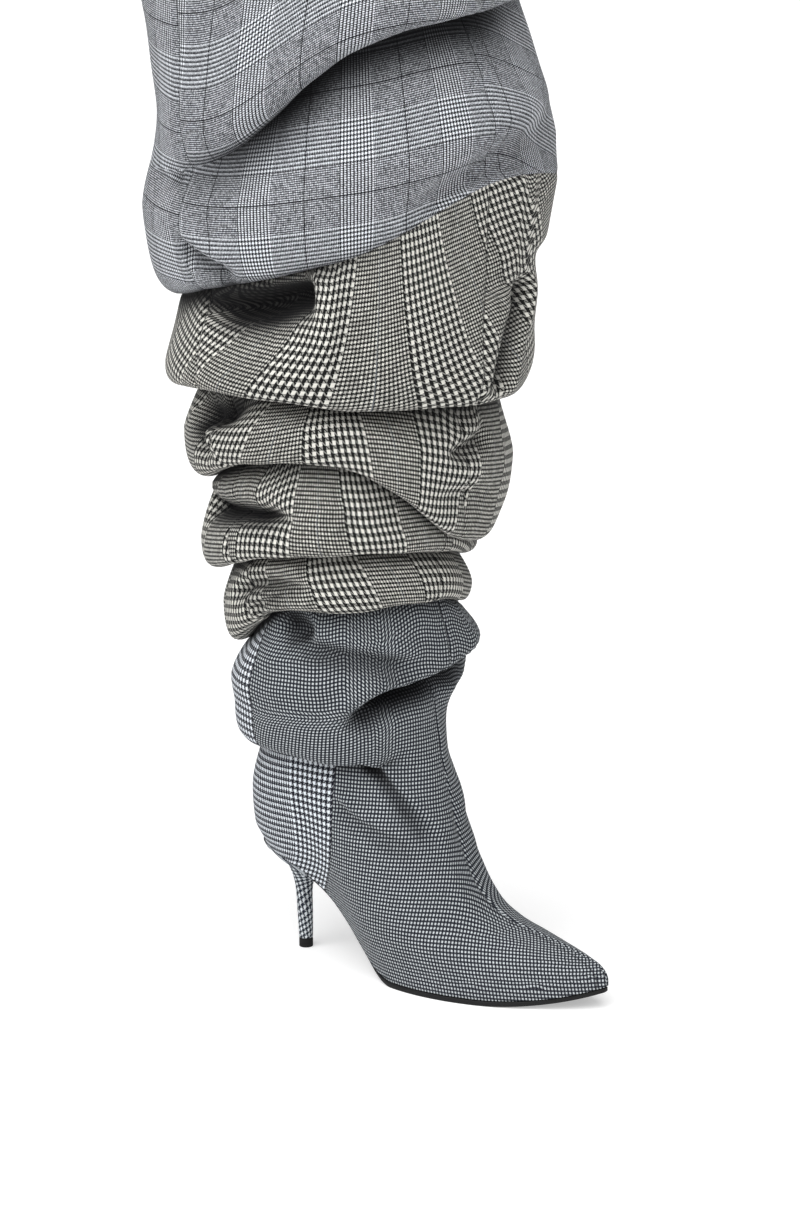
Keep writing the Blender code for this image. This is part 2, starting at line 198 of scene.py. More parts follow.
# Creases of the shaft between two rows, each along a path of (angle, height), read to the right or down.
# Depth of the trough, its width, the swelling of the cloth beside it (above, or on the right of a path that
# runs down), how far that swelling hangs, and the shares of the path over which each end fades.
SHAFT_CREASES = (
    # rows, then depth, width, lip, hang, fade in, fade out, path
    (("top_tuck", "top_seam"), (
        (3.0, 9.0, 1.0, 0.0, 0.3, 0.4, ((-138, 520), (-120, 528), (-104, 540))),
        (2.4, 4.5, 0.8, 0.0, 0.3, 0.5, ((-119, 534), (-116, 524), (-114, 510))),
        (7.0, 13.0, 2.5, 0.0, 0.3, 0.4, ((-46, 492), (-34, 508), (-12, 532), (18, 548), (45, 556))),
        (6.0, 5.0, 2.0, 0.0, 0.4, 0.25, ((-116, 492), (-109, 481), (-101, 472), (-90, 464))),
        (4.0, 9.0, 1.5, 0.0, 0.3, 0.4, ((70, 520), (95, 506), (125, 512))),
    )),
    (("top_seam", "tuck_1"), (
        (24.0, 8.0, 0.0, 0.0, 0.4, 0.08, ((-114, 443), (-102, 447), (-86, 452), (-66, 460))),
        (-8.0, 9.0, 0.0, 0.0, 0.15, 0.5, ((-60, 472), (-61, 453), (-62, 429), (-65, 393))),
        (10.0, 7.0, 4.0, 0.0, 0.15, 0.1, ((10, 462), (8, 437), (4, 420), (1, 402), (-1, 384))),
        (-3.0, 7.0, 0.0, 0.0, 0.2, 0.2, ((2, 452), (0, 437), (-4, 420), (-7, 402), (-8, 388))),
        (5.0, 15.0, 0.0, 0.0, 0.4, 0.4, ((-108, 418), (-94, 428), (-78, 436), (-68, 424))),
        (9.0, 10.0, 0.0, 0.0, 0.4, 0.4, ((8, 470), (34, 464), (62, 458), (88, 456))),
        (6.0, 8.0, 1.5, 0.0, 0.3, 0.3, ((75, 446), (100, 438), (130, 446))),
        (-4.0, 9.0, 0.0, 0.0, 0.2, 0.5, ((150, 455), (152, 430), (155, 400))),
    )),
    (("tuck_1", "tuck_2"), (
        (9.0, 7.0, 2.5, 0.0, 0.2, 0.4, ((-124, 374), (-118, 358), (-112, 340))),
        (14.0, 7.0, 0.0, 0.0, 0.3, 0.5, ((-134, 371), (-117, 376), (-103, 381), (-90, 386))),
        (6.0, 5.0, 2.5, 2.0, 0.3, 0.3, ((-22, 352), (-8, 357), (6, 364))),
        (4.5, 9.0, 1.0, 0.0, 0.4, 0.4, ((-30, 322), (-12, 326), (8, 318))),
        (5.0, 6.0, 1.5, 1.0, 0.3, 0.3, ((95, 338), (120, 345), (150, 341))),
    )),
    (("tuck_2", "tuck_3"), (
        (15.0, 7.0, 5.0, 5.0, 0.1, 0.35,
         ((-138, 312), (-118, 315), (-100, 318), (-88, 317), (-80, 311), (-75, 302))),
        (4.0, 7.0, 1.0, 0.0, 0.3, 0.5, ((-62, 328), (-56, 312), (-52, 296))),
    )),
    (("tuck_3", "lower_seam"), (
        (6.5, 5.0, 3.0, 1.0, 0.3, 0.4, ((-126, 246), (-113, 260), (-98, 268), (-84, 269), (-66, 262))),
        (4.0, 4.5, 2.0, 0.5, 0.3, 0.4, ((-114, 240), (-103, 250), (-92, 257), (-80, 257))),
        (3.5, 4.0, 1.2, 0.5, 0.3, 0.3, ((70, 252), (100, 262), (130, 258))),
    )),
    (("lower_seam", "ankle"), (
        (9.0, 6.5, 1.0, 0.0, 0.3, 0.25, ((-102, 236), (-92, 240), (-82, 238), (-77, 229))),
        (7.0, 6.0, 1.5, 0.0, 0.35, 0.3, ((-104, 224), (-83, 227), (-57, 223), (-34, 217), (-10, 210))),
        (21.0, 6.5, 5.0, 3.5, 0.22, 0.3,
         ((-60, 168), (-54, 181), (-42, 194), (-26, 198), (-10, 201), (7, 205), (28, 211), (56, 217))),
        (-8.0, 9.0, 0.0, 0.0, 0.3, 0.1, ((2, 189), (26, 195), (54, 200))),
        (2.4, 6.0, 0.8, 0.0, 0.4, 0.4, ((-62, 188), (-52, 180), (-40, 178))),
        (7.0, 5.5, 2.5, 2.0, 0.3, 0.3, ((70, 196), (100, 203), (130, 196), (155, 186))),
    )),
)

# Creases of the foot seen from the side, each along a path of (x, height), and the share kept on the inner
# side.
FOOT_CREASES = (
    # depth, width, lip, inner share, fade in, fade out, path
    (3.9, 2.8, 3.2, 0.5, 0.05, 0.85,
     ((-52, 151), (-42, 143), (-33, 132), (-24, 121), (-15, 108), (-7, 93), (-1, 83), (4, 74))),
    (2.6, 3.8, 2.0, 0.6, 0.15, 0.4, ((-74, 124), (-52, 110), (-26, 98), (-6, 84))),
    (2.0, 4.5, 1.2, 0.6, 0.3, 0.4, ((-34, 128), (-20, 110), (-8, 88))),
    (1.2, 5.0, 0.8, 0.8, 0.3, 0.4, ((-50, 102), (-26, 90), (0, 78))),
)

# Seams that run up the boot, degrees round the shaft.
SHAFT_SEAMS = (-110.0, -11.0, 112.0)
# How far the cloth is drawn in: degrees from an upright seam and depths, then a level seam's width and depth.
SEAM_DIP = ((0.0, 0.56, 1.6, 3.2, 5.0), (0.9, 0.35, -0.25, -0.12, 0.0))
BAND_DIP = (2.2, 0.9)
# Where the back panel is sewn on: degrees round the ankle roll, and below it seen from the side.
ANKLE_BACK = 112.5
COUNTER = (
    # z, x
    (40.0, -104.0),
    (52.0, -95.0),
    (72.0, -80.5),
    (95.0, -73.5),
    (122.0, -71.5),
    (150.0, -69.0),
)

# How the cloth lies on each roll: the reach it was cut for, its shift round and up, the height at which its
# columns keep their spacing, and at the six stations how far its rows rise and how much its columns lean.
LAYS = {
    # roll: reach, round, up, pivot, rises, leans
    "top_roll": (118.0, 41.6, -8.6, 0.0, (-29, -20, -11, -2, 7, -10), (0.1,) * 6),
    "lower_top_roll": (120.0, 43.6, 1.2, 0.0, (-46, -34, -20, -4, 12, -20), (0.0,) * 6),
    "roll_1": (96.0, 46.0, 48.0, 14.0, (-34, -6, 0, -25, -34, -30), (0.6, 0.6, 0.15, -0.5, -0.35, 0.0)),
    "roll_2": (105.0, 41.1, 16.0, 0.0, (4, 10, 0, -14, -8, 0), (0.9, 0.6, -0.2, 0.3, 0.5, 0.0)),
    "roll_3": (94.0, 4.4, 7.0, 0.0, (-14, -4, 0, -10, 0, 0), (0.3, 0.3, -0.2, -0.2, 0.0, 0.0)),
    "roll_4": (82.0, 16.1, 16.0, 0.0, (-8, 0, 0, 0, 0, 0), (0.2, 0.0, -0.5, -0.3, 0.0, 0.0)),
    "ankle_roll": (75.0, 0.0, 0.0, 0.0, (0,) * 6, (0.0,) * 6),
}
# Shift of the cloth from panel to panel: back, outer side, front, inner side, and the share of it that goes
# up. The last panel meets the first at the back.
PANEL_SHIFT = (30.5, 17.0, 8.1, 30.5)
PANEL_LIFT = 0.6
PANEL_MIDDLES = (-180.0, FACING, 50.0, 180.0)
# How the foot's cloth lies: shift of the inner panel, reach of the roll it turns with and of the front seam.
INNER_SHIFT = (1.7, 1.1)
ANKLE_REACH = 68.0
FRONT_REACH = 66.0
# Level lines and cross-sections along which it is measured (first, end, step), and where it turns from one
# measure to the other: x, height above the sole's edge, rows from the ankle.
LEVEL_LINES = (4.0, 172.0, 4.0)
VAMP_SECTIONS = (-40.0, 101.0, 3.0)
VAMP_X = (-20.0, 50.0)
VAMP_EDGE = (5.0, 15.0)
ONTO_FOOT = (-1.2, 0.45)
# The back panel: its reach on the roll, and the middle and radius of the heel it goes round.
BACK_REACH = 74.0
HEEL_X = -132.0
HEEL_RADIUS = 28.0
# The heel's cloth: length of cloth per row of the heel, girth and lean.
HEEL_ROW = 11.0
HEEL_GIRTH = 46.0
HEEL_LEAN = 0.3
# Threads in one repeat of the broad and the fine part of a check, half of them dark, the order of a cloth
# without a fine part, and the cover of a window line.
BROAD = 8.0
FINE = 4.0
PLAIN = (1, 0)
PANE_COVER = 0.88


def hermite(xs, ys, x):
    """Smooth curve through a short table."""
    xs = np.asarray(xs, float)
    ys = np.asarray(ys, float)
    step = np.diff(xs)
    rise = np.diff(ys) / step
    slope = np.empty(len(xs))
    slope[1:-1] = (rise[:-1] * step[1:] + rise[1:] * step[:-1]) / (step[1:] + step[:-1])
    slope[0] = rise[0]
    slope[-1] = rise[-1]
    i = np.clip(np.searchsorted(xs, x, side="right") - 1, 0, len(xs) - 2)
    f = np.clip((x - xs[i]) / step[i], 0.0, 1.0)
    a = (1 + 2 * f) * (1 - f) ** 2
    b = f * (1 - f) ** 2
    c = f * f * (3 - 2 * f)
    d = f * f * (f - 1)
    return a * ys[i] + b * step[i] * slope[i] + c * ys[i + 1] + d * step[i] * slope[i + 1]


def around(values, angle):
    """Value at angles (degrees) from the six stations, closed round the shaft."""
    xs = np.concatenate([np.asarray(STATIONS) + whole for whole in (-360.0, 0.0, 360.0)])
    turn = (np.asarray(angle, float) + 180.0) % 360.0 - 180.0
    return hermite(xs, np.tile(np.asarray(values, float), 3), turn)


def smooth(a, b, x):
    f = np.clip((x - a) / (b - a), 0.0, 1.0)
    return f * f * (3 - 2 * f)


def column(table, k):
    return [row[k] for row in table]


def row_number(name):
    return column(ROWS, 0).index(name)


def turn_of(points):
    """Angle of points round the shaft's axis, in radians."""
    return np.arctan2(points[..., 1], points[..., 0] - AXIS_X)


def nearest(values, value):
    """Number of the entry that lies nearest to a value."""
    return int(np.argmin(np.abs(np.asarray(values) - value)))


def running(steps, axis=0):
    """Running total of steps along one axis, from nothing."""
    return np.insert(np.cumsum(steps, axis), 0, 0.0, axis)


def shaft_ring(level, angles):
    """Points of the outer face at one level. level counts rows from the collar."""
    k = int(min(level, len(ROWS) - 1.000001))
    f = level - k
    above = ROWS[k]
    below = ROWS[k + 1]
    z0 = around(above[3], angles)
    z1 = around(below[3], angles)
    r0 = around(above[4], angles)
    r1 = around(below[4], angles)
    h = f
    if below[1] == "tuck":
        droop = np.clip(around(below[2], angles), 0.0, 1.0)
        g = f ** (TUCK_POWER[0] + TUCK_POWER[1] * droop)
        h = f + droop * 4 * f * f * (1 - f) * np.clip((r0 - r1) / FULL_HANG, 0.0, 1.0)
    elif above[1] == "tuck":
        g = 1 - (1 - f) ** below[2]
    else:
        g = smooth(0.0, 1.0, f)
    reach = r0 + (r1 - r0) * g
    turn = np.radians(angles)
    return np.stack([AXIS_X + reach * np.cos(turn), reach * np.sin(turn), z0 + (z1 - z0) * h], -1)


def place_of(x):
    """Share of the sole's edge from the toe (0) to the back of the heel (1), crowded at both ends."""
    return float(np.arccos(np.clip(1 - 2 * (x - TOE_X) / (BACK_X - TOE_X), -1, 1)) / np.pi)


SOLE_PLACES = [place_of(x) for x in column(SOLE, 0)]


def sole_edge(c, side, inset=0.0):
    """Outsole edge at c (0 toe, 1 heel) on a side (-1 outer, 1 inner), moved in, and its way outward."""
    widths = column(SOLE, 1 if side < 0 else 2)
    nudge = 0.002

    def edge(c):
        x = TOE_X + (BACK_X - TOE_X) * (1 - np.cos(np.pi * c)) / 2
        return np.array((x, side * hermite(SOLE_PLACES, widths, c)))

    along = edge(min(c + nudge, 1.0)) - edge(max(c - nudge, 0.0))
    out = np.array((-along[1], along[0])) * -side
    out = out / np.linalg.norm(out)
    if c <= 0.0:
        out = np.array((1.0, 0.0))
    if c >= 1.0:
        out = np.array((-1.0, 0.0))
    return edge(c) - out * inset, out


def sole_height(x):
    rising = SOLE[::-1]
    return np.maximum(hermite(column(rising, 0), column(rising, 3), x), 0.0)


def seat_height(x):
    return sole_height(x) + SOLE_THICKNESS + PIECE_GAP


def ridge_shape(v):
    """How far forward and how high the ridge of the vamp lies at shares of its length, both from 0 to 1."""
    xs = np.array(column(RIDGE, 0))
    zs = np.array(column(RIDGE, 1))
    lengths = running(np.hypot(np.diff(xs), np.diff(zs)))
    x = hermite(lengths, xs, v * lengths[-1])
    z = hermite(lengths, zs, v * lengths[-1])
    return (x - xs[0]) / (xs[-1] - xs[0]), (z - zs[-1]) / (zs[0] - zs[-1])


def foot_meridian(angle, top, shares):
    """Points of the foot below one point of the ankle, shares from 0 at the ankle to 1 at the sole's edge."""
    turn = abs(angle)
    side = -1 if angle < 0 else 1
    place = hermite(column(LANDING, 0), column(LANDING, 1), turn)
    heel = smooth(*HEEL_TURN, turn)
    edge, out = sole_edge(float(place), side, FEATHER_INSET + HEEL_TUCK * heel)
    foot = np.array((edge[0], edge[1], seat_height(edge[0])))
    along, height = ridge_shape(shares)
    over = 1 - smooth(0.0, RIDGE_TURN, turn)
    along = over * along + (1 - over) * shares
    height = over * height + (1 - over) * (1 - shares)
    points = foot + (top - foot) * np.stack([1 - along, 1 - shares, height], -1)
    swell = VAMP_SWELL * smooth(0.0, SWELL_TURN, turn) * (1 - heel) + HEEL_SWELL * heel
    fuller = HEEL_TUCK * heel * smooth(0.0, 0.5, shares) * (1 - smooth(0.82, 1.0, shares))
    points[:, :2] += out * (swell * 4 * shares * (1 - shares) + fuller)[:, None]
    return points


def directions(seams=()):
    """Angles round the boot from the back by the outer side, with three close columns at each seam."""
    half = [180.0 * (i / HALF_STEPS) ** FRONT_CROWD for i in range(HALF_STEPS + 1)]
    plain = np.array([-angle for angle in half[:0:-1]] + half)
    for seam in seams:
        plain = plain[np.abs(plain - seam) > SEAM_CLEAR]
        plain = np.append(plain, (seam - SEAM_SIDE, seam, seam + SEAM_SIDE))
    return np.sort(plain)


def even_levels(first, last):
    """Levels between two rows so that the rings lie about one step apart along the cloth."""
    levels = np.linspace(first, last, ROW_SAMPLES * (last - first) + 1)
    rings = np.stack([shaft_ring(level, np.arange(-180.0, 180.0, 15.0)) for level in levels])
    gaps = np.linalg.norm(np.diff(rings, axis=0), axis=2).max(1)
    run = running(gaps)
    return np.interp(np.linspace(0.0, run[-1], int(run[-1] / ROW_STEP)), run, levels)


def outward(points):
    """Outward directions of a grid of points, rows downward and columns round the boot."""
    round_boot = np.empty_like(points)
    round_boot[:, 1:-1] = points[:, 2:] - points[:, :-2]
    round_boot[:, 0] = round_boot[:, -1] = points[:, 1] - points[:, -2]
    normal = np.cross(np.gradient(points, axis=0), round_boot)
    return normal / np.maximum(np.linalg.norm(normal, axis=2, keepdims=True), 1e-9)


def along_path(flat, path):
    """Signed distance of flat points from a smooth path, and the share of the path that lies nearest."""
    path = np.asarray(path, float)
    run = running(np.linalg.norm(np.diff(path, axis=0), axis=1))
    shares = np.linspace(0.0, run[-1], PATH_POINTS)
    line = np.stack([hermite(run, path[:, 0], shares), hermite(run, path[:, 1], shares)], -1)
    best = np.full(len(flat), 1e9)
    signed = np.full(len(flat), 1e9)
    share = np.zeros(len(flat))
    for k in range(len(line) - 1):
        step = line[k + 1] - line[k]
        size = np.linalg.norm(step)
        t = np.clip((flat - line[k]) @ step / size**2, 0.0, 1.0)
        off = flat - (line[k] + t[:, None] * step)
        gap = np.linalg.norm(off, axis=1)
        side = np.where(off @ np.array((-step[1], step[0])) >= 0, 1.0, -1.0)
        closer = gap < best
        best[closer] = gap[closer]
        signed[closer] = (gap * side)[closer]
        share[closer] = ((k + t) / (len(line) - 1))[closer]
    return signed, share


def press(points, painted_shade, normal, flat, path, depth, width, lip, hang, fades, keep):
    """Press one crease into a grid of points: a trough, the swelling beside it and its hang.

    Adds the painted shade of the crease, which darkens the cloth along its trough and further below it.
    """
    mid = np.mean(path, axis=0)
    span = np.max(np.abs(np.asarray(path) - mid), axis=0) + 4 * width
    near = np.where((np.abs(flat - mid) < span).all(-1) & (keep > 0.01))
    if not len(near[0]):
        return
    signed, share = along_path(flat[near], path)
    ends = smooth(0.0, fades[0], share) * smooth(0.0, fades[1], 1 - share) * keep[near]
    off = signed / width
    trough = np.exp(-((off / np.where(off < 0, TROUGH_BELOW, TROUGH_ABOVE)) ** 2)) * ends
    shade = np.exp(-(np.abs(off / np.where(off < 0, SHADE_BELOW, TROUGH_ABOVE)) ** 3)) * ends
    swell = np.exp(-((off - LIP_PLACE) ** 2)) * ends
    points[near] += normal[near] * (lip * swell - depth * trough)[:, None]
    points[near[0], near[1], 2] -= hang * np.exp(-((off - HANG_PLACE) ** 2)) * ends
    # Painted shade: darkens the cloth's colour along the trough, reaching further below it.
    painted_shade[near] += np.clip(depth / (FULL_CREASE * width), 0.0, 1.0) * shade


def soften(points, normal, amount):
    """Slow unevenness of soft cloth, the same for neighbouring pieces."""
    turn = turn_of(points)
    z = points[..., 2]
    wave = np.sin(5 * turn + z / 23.0) * np.sin(z / 17.0 - 3 * turn)
    wave += 0.6 * np.sin(9 * turn - z / 11.0 + 1.3) + 0.4 * np.sin(14 * turn + z / 8.0)
    points += normal * (amount * wave)[..., None]


def crease_shaft(points, painted_shade, levels):
    """Press the shaft's creases into rings that lie at the given levels."""
    normal = outward(points)
    turn = np.degrees(turn_of(points))
    for (upper, lower), creases in SHAFT_CREASES:
        first = row_number(upper)
        last = row_number(lower)
        inside = smooth(first, first + ROW_CLEAR, levels) * (1 - smooth(last - ROW_CLEAR, last, levels))
        keep = np.repeat(inside[:, None], points.shape[1], 1)
        for depth, width, lip, hang, fade_in, fade_out, path in creases:
            scale = np.radians(1.0) * np.mean([around(ROWS[first + 1][4], a) for a, z in path])
            flat = np.stack([turn * scale, points[..., 2]], -1)
            line = [(a * scale, z) for a, z in path]
            press(points, painted_shade, normal, flat, line, depth, width, lip, hang, (fade_in, fade_out), keep)


def crease_foot(points, painted_shade, levels):
    """Press the creases of the instep and vamp into the foot's skin."""
    normal = outward(points)
    from_ankle = levels - row_number("ankle")
    on_foot = np.interp(from_ankle, (-0.4, 0.0, 0.9, 1.0), (0.0, 1.0, 1.0, 0.0))[:, None]
    seen = np.stack([points[..., 0], points[..., 2]], -1)
    for depth, width, lip, inner, fade_in, fade_out, path in FOOT_CREASES:
        y = points[..., 1]
        keep = on_foot * np.where(y < 0, 1.0, inner) * smooth(1.0, 9.0, np.abs(y))
        press(points, painted_shade, normal, seen, path, depth, width, lip, 0.0, (fade_in, fade_out), keep)


def sew(points, angles, levels):
    """Draw the cloth in along the upright seams and where two bands are sewn together."""
    normal = outward(points)
    run = cloth_run(points)
    dip = np.zeros(points.shape[:2])
    foot = smooth(-0.1, 0.1, levels - row_number("lower_seam"))[:, None]
    for seam, share in [(seam, 1 - foot) for seam in SHAFT_SEAMS] + [(0.0, foot)]:
        dip += share * np.interp(np.abs(angles - seam), *SEAM_DIP)[None, :]
    width, depth = BAND_DIP
    for name in ("top_seam", "lower_seam"):
        ring = nearest(levels, row_number(name))
        dip += np.exp(-(((run - run[ring]) / width) ** 2)) * depth
    points -= normal * dip[..., None]


def tuck_painted_shade(points, levels, angles):
    """Painted shade under the tucks: how far each point's cloth is darkened, 1 right under the lip of the
    roll above.
    """
    run = cloth_run(points)
    painted_shade = np.zeros(points.shape[:2])
    for name, above, below in TUCK_SHADE:
        number = row_number(name)
        drop = around(ROWS[number - 1][4], angles) - around(ROWS[number][4], angles)
        off = run - run[nearest(levels, number)]
        painted_shade += np.clip(drop / FULL_TUCK, 0.0, 1.0) * np.exp(-((off / np.where(off < 0, above, below)) ** 2))
    return painted_shade


def cloth_run(points):
    """Length of cloth from the collar down to each point."""
    return running(np.linalg.norm(np.diff(points, axis=0), axis=2))


def boot_skin():
    """Every ring from the collar to the sole's edge: angles, levels, smooth rings, creased rings, painted
    shade.
    """
    angles = directions((*SHAFT_SEAMS, 0.0))
    ankle = row_number("ankle")
    stops = (0, row_number("top_seam"), row_number("lower_seam"), ankle)
    levels = np.concatenate([even_levels(a, b)[:-1] for a, b in zip(stops, stops[1:])] + [[float(ankle)]])
    shares = np.linspace(0.0, 1.0, FOOT_RINGS + 1)[1:]
    rings = np.stack([shaft_ring(level, angles) for level in levels])
    foot = np.stack([foot_meridian(a, rings[-1, i], shares) for i, a in enumerate(angles)], 1)
    plain = np.concatenate([rings, foot])
    levels = np.concatenate([levels, ankle + shares])
    points = plain.copy()
    soft = np.interp(levels - ankle, (-1.0, 0.3), (SOFTNESS, 0.0))
    soften(points, outward(points), soft[:, None])
    # Painted shade under the tucks, then in the creases as they are pressed.
    painted_shade = tuck_painted_shade(points, levels, angles)
    crease_shaft(points, painted_shade, levels)
    crease_foot(points, painted_shade, levels)
    sew(points, angles, levels)
    points[:, -1] = points[:, 0]
    return angles, levels, plain, points, np.clip(painted_shade, 0.0, 1.0)


class Signal:
    """One socket of a material's nodes. Arithmetic on it adds Math nodes."""

    def __init__(self, socket):
        self.socket = socket

    def add(self, kind, settings, inputs, output=0):
        """Add a node: its type, its settings, then the values or links of its sockets."""
        node = self.socket.id_data.nodes.new(kind)
        for key, value in settings.items():
            setattr(node, key, value)
        plug(node, inputs)
        return Signal(node.outputs[output])

    def math(self, operation, *others):
        return self.add("ShaderNodeMath", {"operation": operation}, dict(enumerate((self, *others))))

    def __add__(self, other):
        return self.math("ADD", other)

    __radd__ = __add__

    def __sub__(self, other):
        return self.math("SUBTRACT", other)

    def __rsub__(self, other):
        return self.add("ShaderNodeMath", {"operation": "SUBTRACT"}, {0: other, 1: self})

    def __mul__(self, other):
        return self.math("MULTIPLY", other)

    __rmul__ = __mul__

    def __truediv__(self, other):
        return self.math("DIVIDE", other)

    def __mod__(self, other):
        return self.math("FLOORED_MODULO", other)

    def __lt__(self, other):
        return self.math("LESS_THAN", other)

    def __gt__(self, other):
        return self.math("GREATER_THAN", other)

    def __abs__(self):
        return self.math("ABSOLUTE")

    def floor(self):
        return self.math("FLOOR")

    def between(self, low, high):
        """0 below low, 1 above high, smooth between."""
        inputs = {0: self, 1: low, 2: high, 3: 0.0, 4: 1.0}
        return self.add("ShaderNodeMapRange", {"interpolation_type": "SMOOTHSTEP"}, inputs)

    def mix(self, first, second):
        """This signal as the share of the second colour over the first."""
        return self.add("ShaderNodeMix", {"data_type": "RGBA"}, {0: self, 6: first, 7: second}, 2)


def plug(node, inputs):
    """Give the sockets of a node their links or constants."""
    for key, value in inputs.items():
        if isinstance(value, Signal):
            node.id_data.links.new(value.socket, node.inputs[key])
        else:
            node.inputs[key].default_value = value


def colour(r, g, b):
    return (r, g, b, 1.0)


def new_material(name):
    material = bpy.data.materials.new(name)
    material.use_nodes = True
    shader = material.node_tree.nodes["Principled BSDF"]
    return material, shader, Signal(shader.outputs[0])


def noise(start, coords, scale, detail=2.0):
    return start.add("ShaderNodeTexNoise", {}, {"Vector": coords, "Scale": scale, "Detail": detail})


def object_coords(start):
    return start.add("ShaderNodeTexCoord", {}, {}, 3)


def attribute(start, name):
    return start.add("ShaderNodeAttribute", {"attribute_name": name}, {}, 2)


def bump(start, height, strength, distance):
    return start.add("ShaderNodeBump", {}, {"Strength": strength, "Distance": distance, "Height": height})


def dark_thread(number, broad):
    """1 on the dark threads, the first half of each repeat of the broad or the fine part."""
    return broad * ((number % BROAD) < BROAD / 2) + (1.0 - broad) * ((number % FINE) < FINE / 2)


def thread_order(number, order):
    """Whether a thread is dark, and whether it lies in the broad part of the check.

    order: repeats of four dark and four light threads, then repeats of two and two.
    """
    broad_repeats, fine_repeats = order
    if not fine_repeats:
        return (number % BROAD) < BROAD / 2, None
    place = number % (BROAD * broad_repeats + FINE * fine_repeats)
    broad = place < BROAD * broad_repeats
    return dark_thread(place, broad), broad


def pane_thread(number, order, threads):
    """1 on the few threads in the middle of the fine part, which draw the thin window lines."""
    broad_repeats, fine_repeats = order
    middle = BROAD * broad_repeats + FINE / 2 * fine_repeats
    off = abs((number % (BROAD * broad_repeats + FINE * fine_repeats)) - middle)
    return off < threads / 2.0


def weave(start, uv_name, pitch, warp, weft, light, dark, sunk, fine=1.0, cover=0.5, grain=0.3, pane=None):
    """Colour and height of a two-and-two twill whose threads change colour in a set order.

    pitch: millimetres from thread to thread, round and up. sunk: brightness of a light thread that lies
    among dark ones, a painted shade as if its dark neighbours shaded it. fine: brightness of the light
    threads in the
    fine part. cover: share of the face that the warp takes. grain: unevenness of the yarn. pane: colour of
    the window lines. Without an order of its own the weft keeps step with the warp.
    """
    light = colour(*light)
    dark = colour(*dark)
    uv = start.add("ShaderNodeUVMap", {"uv_map": uv_name}, {})
    u, v = (start.add("ShaderNodeSeparateXYZ", {}, {0: uv}, k) / (pitch[k] * MM) for k in (0, 1))
    across = u.floor()
    along = v.floor()
    warp_up = ((across + v) % 4.0) < 4.0 * cover
    warp_dark, warp_broad = thread_order(across, warp)
    if weft:
        weft_dark, weft_broad = thread_order(along, weft)
    else:
        weft_dark, weft_broad = dark_thread(along, warp_broad), warp_broad
    is_dark = warp_up * warp_dark + (1.0 - warp_up) * weft_dark
    # Painted shade: a light thread lying among dark ones is darkened as if its dark neighbours shaded it.
    among_dark = warp_up * weft_dark + (1.0 - warp_up) * warp_dark
    bright = 1.0 - (1.0 - sunk) * among_dark
    uneven = grain
    if warp_broad:
        broad = warp_up * warp_broad + (1.0 - warp_up) * (weft_broad or 1.0)
        bright = bright * (fine + (1.0 - fine) * broad)
        uneven = grain * (1.0 - 0.7 * broad)
    speck = start.add("ShaderNodeCombineXYZ", {}, {0: (u / 3.0).floor(), 1: (v / 3.0).floor()})
    yarn = start.add("ShaderNodeTexWhiteNoise", {"noise_dimensions": "2D"}, {"Vector": speck})
    pale = (bright * (1.0 + uneven * (2.0 * yarn - 1.0))).mix(dark, light)
    cloth = is_dark.mix(pale, dark)
    if pane:
        line = pane_thread(across, warp, 4.0 if weft else 2.0)
        if weft:
            line = line.math("MAXIMUM", pane_thread(along, weft, 4.0))
        cloth = (line * PANE_COVER).mix(cloth, colour(*pane))
    round_u, round_v = (1.0 - abs((way % 1.0) - 0.5) * 2.0 for way in (u, v))
    return cloth, warp_up * round_u + (1.0 - warp_up) * round_v


def finish_cloth(material, shader, start, cloth, height, roughness=0.86):
    """Common finish of the suiting: nap, thread relief, and painted shade that darkens the cloth towards near
    black in the creases and under the tucks.
    """
    nap = noise(start, object_coords(start), 260.0, 3.0)
    # Painted shade: in creases and under tucks the cloth's colour is mixed towards near black.
    shade = attribute(start, "painted_shade").between(0.0, 1.0) * CREASE_SHADE
    plug(shader, {
        "Base Color": shade.mix(cloth, colour(0.004, 0.004, 0.005)),
        "Roughness": roughness - 0.08 * nap,
        "Normal": bump(start, height * 0.5 + nap * 0.6, 0.15, 0.0004),
        "Specular IOR Level": 0.15,
        "Sheen Weight": 0.02,
        "Sheen Roughness": 0.5,
    })
    return material


def seam_shade(start, cloth, name, width=0.45):
    """Darken the thin line of a seam, where the named attribute passes through nothing."""
    line = 1.0 - abs(attribute(start, name)).between(width * 0.4, width * 1.6)
    return (line * 0.6).mix(cloth, colour(0.010, 0.010, 0.012))


def check_cloth(name, pitch, warp, weft, light, dark, roughness=0.86, **look):
    """A cloth with one check, and its seams."""
    material, shader, start = new_material(name)
    cloth, height = weave(start, "cloth", pitch, warp, weft, light, dark, **look)
    return finish_cloth(material, shader, start, seam_shade(start, cloth, "seam"), height, roughness)


def navy_tooth():
    """Small tooth check of the foot, with the larger check of the back panel beyond its seam."""
    material, shader, start = new_material("navy_tooth_check")
    side, side_height = weave(
        start, "cloth", (0.275, 0.315), PLAIN, PLAIN,
        (0.48, 0.51, 0.53), (0.008, 0.010, 0.016), sunk=0.12, cover=0.58,
    )
    back, back_height = weave(
        start, "back_cloth", (0.50, 0.55), (9, 40), PLAIN,
        (0.72, 0.76, 0.81), (0.005, 0.006, 0.012), sunk=0.36, fine=0.8,
    )
    is_back = attribute(start, "counter") > 0.0
    cloth = seam_shade(start, seam_shade(start, is_back.mix(side, back), "counter"), "seam")
    return finish_cloth(material, shader, start, cloth, is_back * back_height + (1.0 - is_back) * side_height)


def lining():
    material, shader, start = new_material("charcoal_lining")
    scale = (900.0, 900.0, 90.0)
    stretched = start.add("ShaderNodeMapping", {}, {"Vector": object_coords(start), "Scale": scale})
    thread = noise(start, stretched, 1.0)
    plug(shader, {
        "Base Color": thread.mix(colour(0.030, 0.031, 0.035), colour(0.062, 0.063, 0.068)),
        "Roughness": 0.48 + 0.2 * thread,
        "Normal": bump(start, thread, 0.15, 0.0003),
    })
    return material


